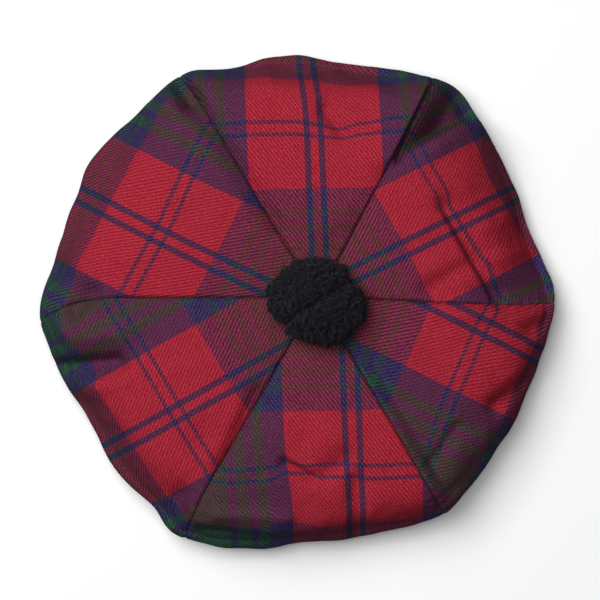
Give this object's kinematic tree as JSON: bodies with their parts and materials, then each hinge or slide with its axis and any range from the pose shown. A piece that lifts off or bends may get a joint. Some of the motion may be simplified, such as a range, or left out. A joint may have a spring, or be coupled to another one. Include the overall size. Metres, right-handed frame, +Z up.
{
  "type": "tam o'shanter",
  "caption": "Soft full-crowned wool cap of petal-shaped tartan gores on a plain headband, with a bobble where the seams meet; open underneath for a head.",
  "frame": {"origin": "on the floor under the middle of the crown's outline, in the plane of the headband's lower edge", "axes": "+Z up out of the crown, +X towards the seam between gore_6 and gore_1, along the crown's longest width"},
  "size_m": [0.2883, 0.2772, 0.0796],
  "materials": {
    "tartan_cloth": "wool twill woven in a red, navy and green check, soft and matt",
    "headband_cloth": "the same wool twill folded double and stitched",
    "toorie_wool": "black looped wool yarn, knobbly and matt"
  },
  "bodies": {
    "root": {"gore_1": "tartan_cloth", "gore_2": "tartan_cloth", "gore_3": "tartan_cloth", "gore_4": "tartan_cloth", "gore_5": "tartan_cloth", "gore_6": "tartan_cloth", "headband": "headband_cloth", "toorie": "toorie_wool"}
  },
  "joints": []
}
